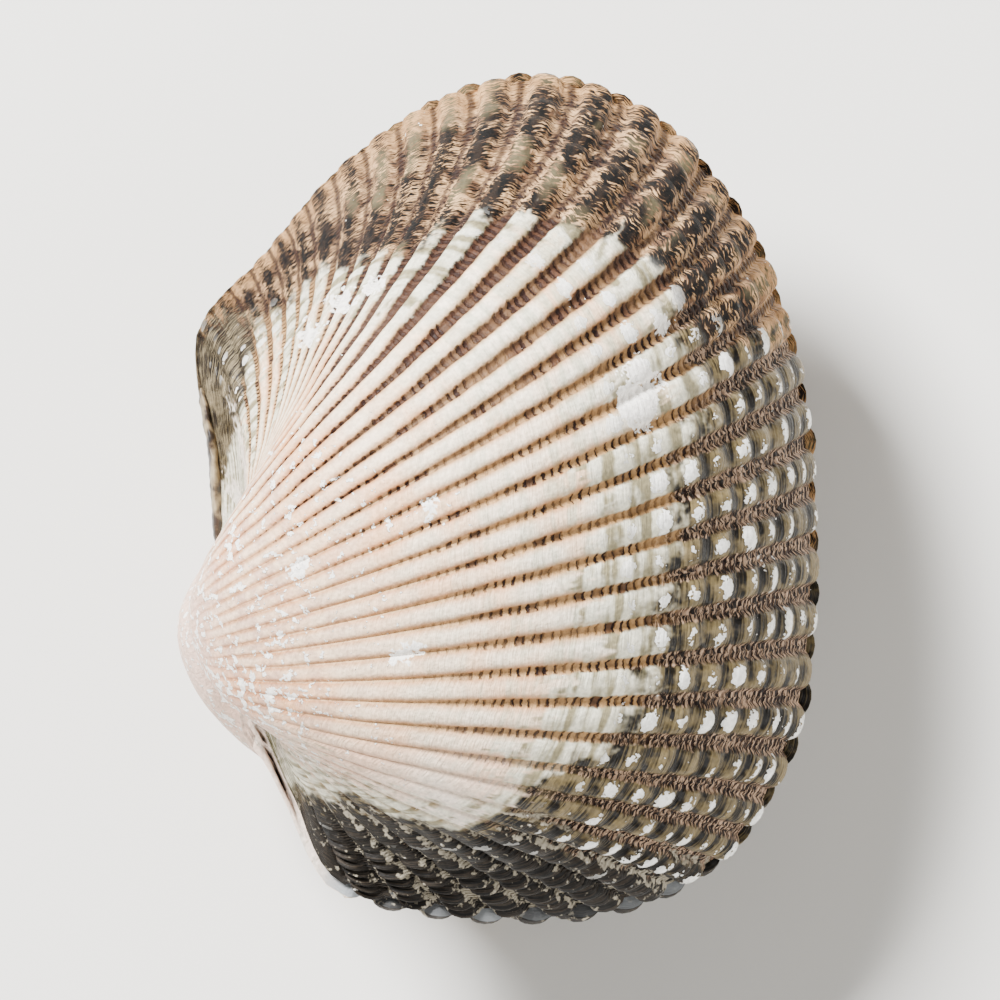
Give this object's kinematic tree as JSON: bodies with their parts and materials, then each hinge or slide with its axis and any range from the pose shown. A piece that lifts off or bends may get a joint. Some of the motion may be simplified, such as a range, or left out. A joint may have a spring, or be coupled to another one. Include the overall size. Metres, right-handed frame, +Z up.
{
  "type": "ark clam shell",
  "caption": "Closed pair of thick ark clam valves with radial ribs, curled beaks and a dark ligament strip along the hinge.",
  "frame": {"origin": "middle of the bounding box's bottom, on the surface that the shell lies on", "axes": "+Z up from the surface, +Y towards the shell's rear end along the hinge, +X towards the free margin away from the hinge; the left valve is on top and the pair leans about 15 degrees towards +X, as it comes to rest"},
  "size_m": [0.0378, 0.0496, 0.0338],
  "materials": {
    "shell": "satin, cream and pink at the beaks, grey-brown and glossy towards the margin",
    "ligament": "dry, dark and horny"
  },
  "bodies": {
    "root": {"left_valve": "shell", "right_valve": "shell", "ligament": "ligament"}
  },
  "joints": []
}
